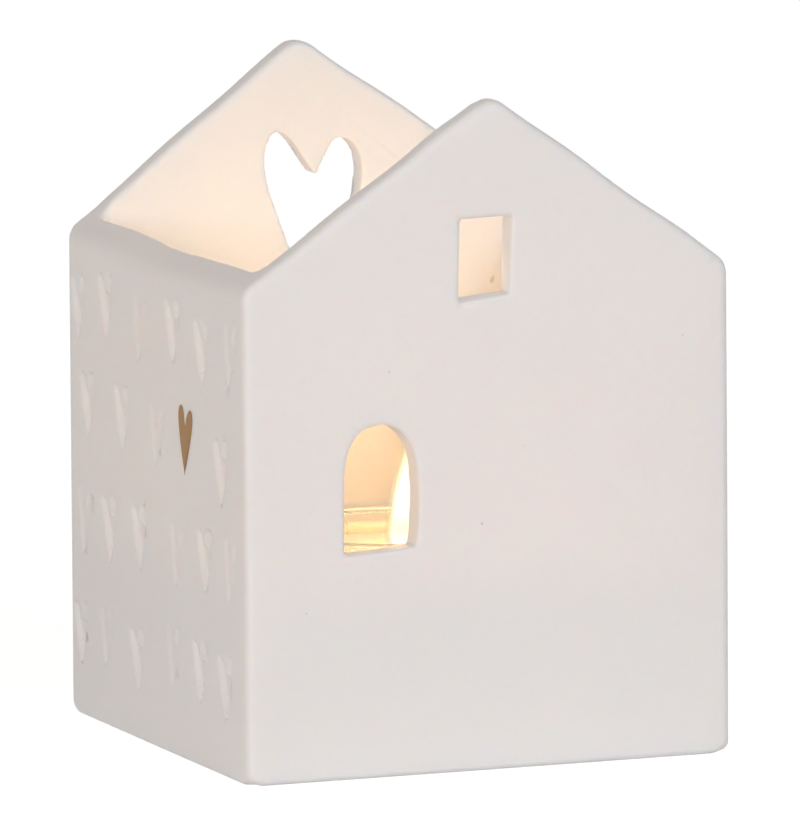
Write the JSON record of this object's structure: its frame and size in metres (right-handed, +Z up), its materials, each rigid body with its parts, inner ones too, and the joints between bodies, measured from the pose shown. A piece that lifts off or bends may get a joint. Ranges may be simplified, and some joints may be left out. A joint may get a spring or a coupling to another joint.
{
  "type": "tealight house",
  "caption": "Small open-roofed porcelain house with a tealight in a round well, an arched and a square window, a heart cut through its back gable and hearts pressed into its side walls.",
  "frame": {"origin": "middle of the footprint, on the surface the house stands on", "axes": "+Z up, +X to the right as seen from the front, +Y towards the back; the front wall with the arched and square windows faces -Y"},
  "size_m": [0.08, 0.078, 0.1041],
  "materials": {
    "porcelain": "unglazed bisque porcelain, matt, warm white, lets light through",
    "gilding": "fired gold lustre, satin",
    "cup_plastic": "clear thermoformed polycarbonate sheet",
    "tinplate": "thin pressed sheet",
    "wax": "paraffin wax, melted on top, lets light through",
    "wick_cotton": "braided cotton, charred at its end"
  },
  "bodies": {
    "house": {"house_shell": "porcelain", "gold_heart": "gilding"},
    "tealight": {"tealight_cup": "cup_plastic", "wick_sustainer": "tinplate", "wax": "wax", "wick": "wick_cotton"}
  },
  "joints": [
    {"name": "tealight_lift", "type": "slide", "parent": "house", "child": "tealight", "axis": [0, 0, 1], "range_m": [0, 0.1]}
  ]
}
